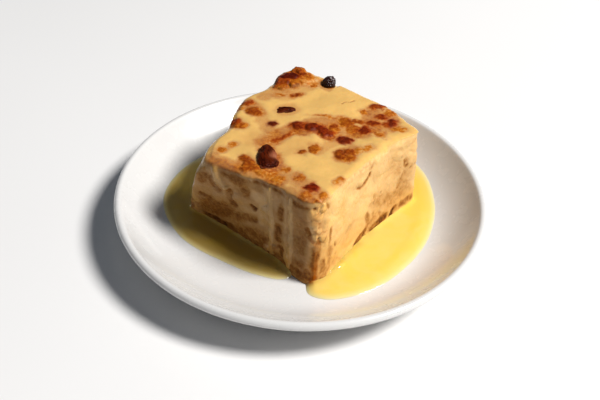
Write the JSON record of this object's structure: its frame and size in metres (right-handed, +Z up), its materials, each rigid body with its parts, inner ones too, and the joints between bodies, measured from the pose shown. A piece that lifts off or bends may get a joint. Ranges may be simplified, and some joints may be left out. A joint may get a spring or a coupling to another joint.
{
  "type": "bread pudding on a plate",
  "caption": "Square of bread pudding under poured custard, with raisins, in a pool of custard on a small white coupe plate.",
  "frame": {"origin": "middle of the plate's foot ring, on the surface that the plate stands on", "axes": "+Z up; the pudding's front corner points to -Y; +X to the right of it"},
  "size_m": [0.178, 0.178, 0.0557],
  "materials": {
    "china": "glossy white glaze",
    "bread": "moist baked bread, browned crust, satin where wet with custard",
    "custard": "wet pouring custard, slightly translucent",
    "raisin": "wrinkled raisin, sticky gloss"
  },
  "bodies": {
    "root": {"plate": "china", "pudding": "bread", "custard_coat": "custard", "custard_pool": "custard", "raisin_black": "raisin", "raisin_flat": "raisin", "raisin_dark": "raisin"}
  },
  "joints": []
}
